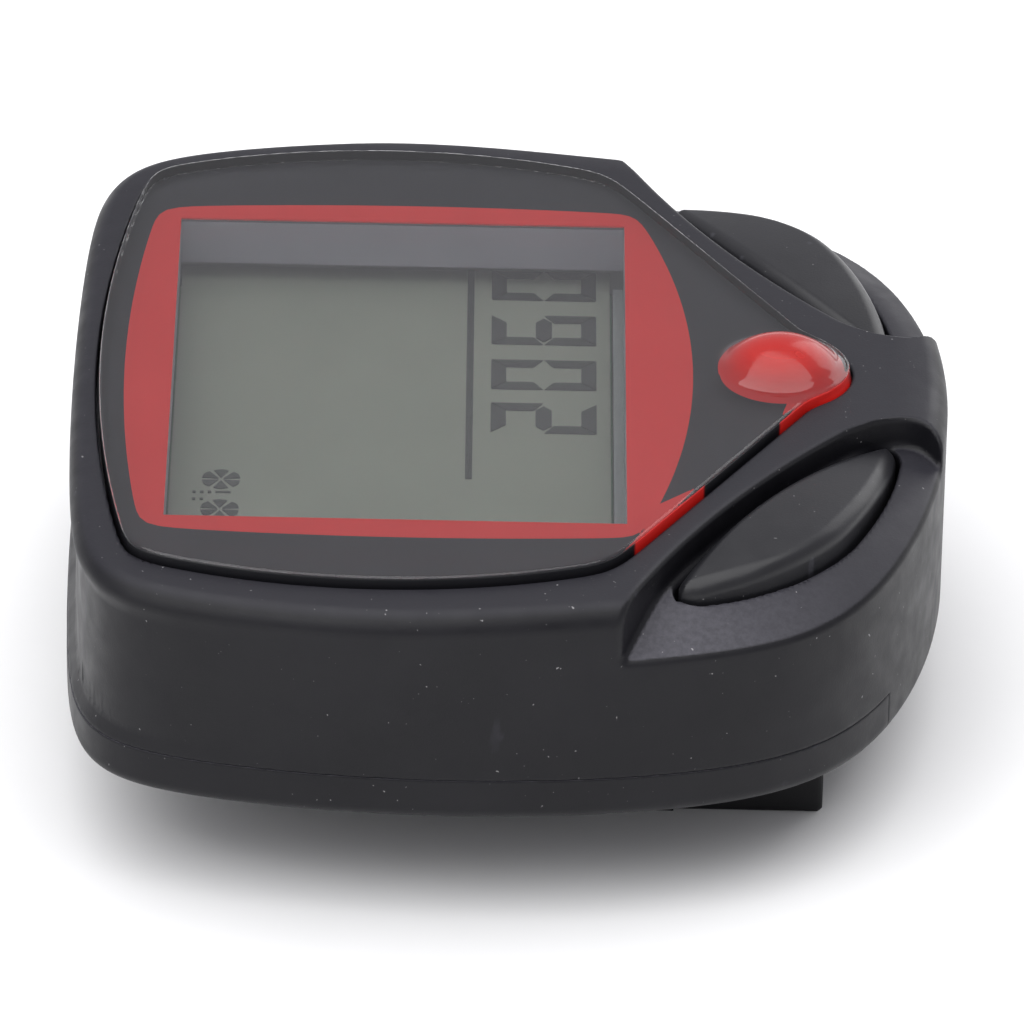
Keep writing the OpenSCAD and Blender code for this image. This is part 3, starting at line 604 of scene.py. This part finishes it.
def clear(name, tint, rough=0.02, ior=1.49):
    """The lens: a clear plate, a hazy dome tinted red, and an inked cut edge that carries a painted
    reflection of the red print on the near side.
    """
    g = Graph(name)
    uneven = g.noise(0.0025)
    place, facing = g.axes(g.at), g.axes(g.new("NewGeometry").outputs["Normal"])
    glass(g.surface, tint, 1, ior)
    g.link(g.ramp(uneven, 0, 1, rough * 0.6, rough * 1.6), g.surface.inputs["Roughness"])

    dome = g.new("BsdfPrincipled")
    glass(dome, (0.52, 0.022, 0.017), 0.3, ior)
    dome.inputs["Specular IOR Level"].default_value = 0.2
    g.link(g.ramp(uneven, 0.3, 0.7, 0.2, 0.28), dome.inputs["Roughness"])
    raised = g.ramp(place["Z"], LENS_TOP * MM, (LENS_TOP + DOME_H * 0.8) * MM, 0, 0.8)
    plate = g.blend(g.surface, dome, raised)

    # the edge is black, and red beside the printed tails on the near side: a painted reflection of the red
    # print
    edge = g.new("BsdfPrincipled")
    edge.inputs["Roughness"].default_value = 0.3
    tails = None
    for near, far in EDGE_RED_REFLECTION:
        past = g.ramp(place["Y"], (far - 0.1) * MM, far * MM, 0, 1)
        before = g.ramp(place["Y"], near * MM, (near + 0.1) * MM, 1, 0)
        stretch = g.times(past, before)
        tails = g.maths("ADD", tails, stretch) if tails else stretch
    red = g.times(tails, g.ramp(place["X"], -1 * MM, 0, 1, 0))
    g.link(g.between((0.008, 0.008, 0.010), (0.66, 0.016, 0.012), red), edge.inputs["Base Color"])
    upright = g.ramp(g.maths("ABSOLUTE", facing["Z"]), 0.4, 0.55, 1, 0)
    below = g.ramp(place["Z"], (LENS_TOP - 0.04) * MM, LENS_TOP * MM, 1, 0)
    return g.finish(g.blend(plate, edge, g.times(upright, below)))


def film(name, tint, opacity):
    """A thin sheet that tints what lies under it."""
    g = Graph(name)
    g.surface.inputs["Base Color"].default_value = (*tint, 1)
    g.link(g.ramp(g.noise(0.004), 0, 1, 0.28, 0.42), g.surface.inputs["Roughness"])
    see = g.new("BsdfTransparent")
    see.inputs["Color"].default_value = (0.97, 0.98, 0.96, 1)
    return g.finish(g.blend(see, g.surface, opacity))


# the housing's ledge colour is a painted highlight
black = plastic("black_abs", (0.0045, 0.0044, 0.0062), (0.0075, 0.0073, 0.0096), (0.4, 0.52),
                specular=0.25, dust=0.4, edge_wear_and_sheen=2.4, painted_ledge_highlight=(0.062, 0.060, 0.072))
black_low = plastic("black_nylon", (0.006, 0.006, 0.007), (0.009, 0.009, 0.010), (0.5, 0.65),
                    specular=0.27, edge_wear_and_sheen=2.5)
pad_black = plastic("button_abs", (0.012, 0.012, 0.014), (0.016, 0.016, 0.019), (0.3, 0.4),
                    specular=0.36, dust=0.3, edge_wear_and_sheen=2.5)
black_ink = plastic("black_ink", (0.016, 0.016, 0.022), (0.020, 0.020, 0.027), (0.35, 0.45), bump=0.004)
red_ink = plastic("red_ink", (0.545, 0.021, 0.021), (0.575, 0.026, 0.026), (0.35, 0.45), bump=0.004)
tape = plastic("tape_foam", (0.02, 0.02, 0.022), (0.03, 0.03, 0.033), (0.7, 0.8))
frame_grey = plastic("frame_grey", (0.24, 0.235, 0.27), (0.27, 0.265, 0.30), (0.45, 0.55), bump=0.05)
rubber = plastic("pad_rubber", (0.012, 0.012, 0.013), (0.02, 0.02, 0.021), (0.7, 0.85), 0.0003, 0.5)
seal_red = plastic("seal_rubber", (0.25, 0.03, 0.025), (0.3, 0.04, 0.03), (0.5, 0.65))
board_green = plastic("solder_mask", (0.02, 0.11, 0.035), (0.03, 0.15, 0.05), (0.3, 0.4), 0.0004, 0.1)
epoxy = plastic("epoxy", (0.008, 0.008, 0.009), (0.012, 0.012, 0.013), (0.15, 0.25), 0.002, 0.1)
ceramic = plastic("ceramic_tan", (0.35, 0.2, 0.09), (0.42, 0.26, 0.13), (0.5, 0.6))
resistor = plastic("resistor_black", (0.012, 0.012, 0.014), (0.02, 0.02, 0.022), (0.4, 0.5))
zebra = plastic("zebra_rubber", (0.20, 0.20, 0.235), (0.225, 0.225, 0.26), (0.5, 0.6))
reflector = plastic("reflector", (0.198, 0.199, 0.191), (0.214, 0.215, 0.206), (0.45, 0.55), bump=0.05)
segment = plastic("segment_ink", (0.004, 0.004, 0.010), (0.006, 0.006, 0.014), (0.4, 0.5), bump=0.02)
steel = metal("steel", (0.55, 0.56, 0.58), (0.25, 0.4))
spring = metal("spring_steel", (0.5, 0.5, 0.51), (0.2, 0.3))
brass = metal("gold_plate", (0.8, 0.58, 0.25), (0.2, 0.32))
clear_lens = clear("clear_lens", (0.985, 0.99, 0.99))
display_glass = film("display_glass", (0.5, 0.5, 0.5), 0.008)
polarizer = film("polarizer", (0.3, 0.3, 0.3), 0.015)

for names, material in {
    ("bracket_base", "release_tab", "battery_holder", "battery_cover"): black_low,
    ("bracket_pad",): rubber,
    ("left_contact_pin", "right_contact_pin", "contact_studs"): brass,
    ("top_housing", "bottom_housing"): black,
    ("left_button", "right_button"): pad_black,
    ("housing_screws", "battery", "watch_crystal", "switch_domes"): steel,
    ("stud_springs", "battery_plus_clip", "battery_minus_leaf"): spring,
    ("cover_seal",): seal_red,
    ("circuit_board",): board_green,
    ("chip_blob",): epoxy,
    ("chip_capacitors",): ceramic,
    ("chip_resistors",): resistor,
    ("zebra_strips",): zebra,
    ("lcd_reflector", "lcd_rear_glass"): reflector,
    ("lcd_segments",): segment,
    ("lcd_front_glass",): display_glass,
    ("lcd_polarizer",): polarizer,
    ("lcd_frame",): frame_grey,
    ("lens_tape",): tape,
    ("lens_black_print",): black_ink,
    ("lens_red_print",): red_ink,
    ("lens",): clear_lens,
}.items():
    for name in names:
        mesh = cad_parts[name].data
        mesh.materials.clear()
        mesh.materials.append(material)

# ---------------------------------------------------------------- pieces
fine = 0.2


def span(low, high, step, grow=0.45):
    return grid(low - grow, high + grow, step)


def built(name, solid, lines, material, body, slot, *nodes):
    piece = new_piece(name, *skin(solid, *lines), material, body, *nodes)
    return piece


# grid lines lie close together where the shape changes, and far apart on plain walls
top_heights = joined(
    grid(UNIT - 0.45, UNIT + 1.0, 0.2),
    grid(UNIT + 1.0, PARTING - 0.2, 0.4),
    grid(PARTING - 0.2, PARTING + 0.7, 0.12),
    grid(PARTING + 0.7, RIM - 4.6, 1.0),
    grid(RIM - 4.6, RIM - 3.2, 0.2),
    grid(RIM - 3.2, RIM + 0.4, 0.14))
bottom_heights = joined(
    grid(base_low[2] - 0.3, UNIT - 0.3, 0.24),
    grid(UNIT - 0.3, UNIT + 1.0, 0.14),
    grid(UNIT + 1.0, PARTING - 0.2, 0.3),
    grid(PARTING - 0.2, PARTING + 0.3, 0.1))
button_heights = joined(grid(RIM - 5.6, RIM - 3.6, 0.2), grid(RIM - 3.6, RIM + 0.3, 0.12))
lens_heights = joined(
    grid(LENS_Z - 0.35, LENS_Z + 0.3, 0.12),
    grid(LENS_Z + 0.3, LENS_TOP - 0.3, 0.3),
    grid(LENS_TOP - 0.3, LENS_TOP + DOME_H + 0.35, 0.1))

built("top_shell", top_shell,
      (span(shell_low[0], shell_high[0], fine), span(shell_low[1], shell_high[1], fine), top_heights),
      black, "computer", "housing_black", "top_housing")
built("bottom_shell", bottom_shell,
      (span(base_low[0], base_high[0], fine), span(base_low[1], base_high[1], fine), bottom_heights),
      black, "computer", "housing_black", "bottom_housing")

for body in ("left_button", "right_button"):
    low, high = corners(body)
    built(body + "_pad", leaf_button,
          (span(low[0], high[0], 0.15), span(low[1], high[1], 0.15), button_heights),
          pad_black, body, "button_black", body)

built("clear_lens", lens_solid,
      (span(LENS_LOW[0], LENS_HIGH[0], fine), span(LENS_LOW[1], LENS_HIGH[1], fine), lens_heights),
      clear_lens, "computer", "clear_lens", "lens")

for name, solid, body, node in (
        ("bracket_body", bracket, "bracket", "bracket_base"),
        ("release_lever", release_tab, "release_tab", "release_tab")):
    low, high = corners(node)
    lines = [span(low[k], high[k], 0.2) for k in range(3)]
    built(name, solid, lines, black_low, body, "bracket_black", node)


# ---------------------------------------------------------------- floor and light
def area(name, at, size, power):
    """A square softbox that points at the object."""
    data = bpy.data.lights.new(name, "AREA")
    data.shape = "RECTANGLE"
    data.size = data.size_y = size
    data.energy = power
    ob = bpy.data.objects.new(name, data)
    ob.location = at
    ob.rotation_mode = "QUATERNION"
    ob.rotation_quaternion = (Vector((0, 0, 0.01)) - Vector(at)).to_track_quat("-Z", "Y")
    bpy.context.scene.collection.objects.link(ob)


def make_floor():
    mesh = bpy.data.meshes.new("floor")
    mesh.from_pydata([(-3, -3, 0), (3, -3, 0), (3, 3, 0), (-3, 3, 0)], [], [(0, 1, 2, 3)])
    ob = bpy.data.objects.new("floor", mesh)
    paper = plastic("paper", (0.86, 0.86, 0.86), (0.87, 0.87, 0.87), (0.9, 0.95), 0.001, 0.02, 0.1)
    mesh.materials.append(paper)
    bpy.context.scene.collection.objects.link(ob)


make_floor()
area("softbox_top", (-0.15, 0.1, 0.9), 1.4, 14)
area("softbox_left", (-0.7, 0.7, 0.6), 0.8, 3)
area("softbox_right", (0.9, -0.6, 0.45), 0.8, 3)

world = bpy.data.worlds.new("studio")
world.use_nodes = True
world.node_tree.nodes["Background"].inputs["Color"].default_value = (0.95, 0.945, 1, 1)
world.node_tree.nodes["Background"].inputs["Strength"].default_value = 0.5
bpy.context.scene.world = world
bpy.context.scene.view_settings.view_transform = "Standard"
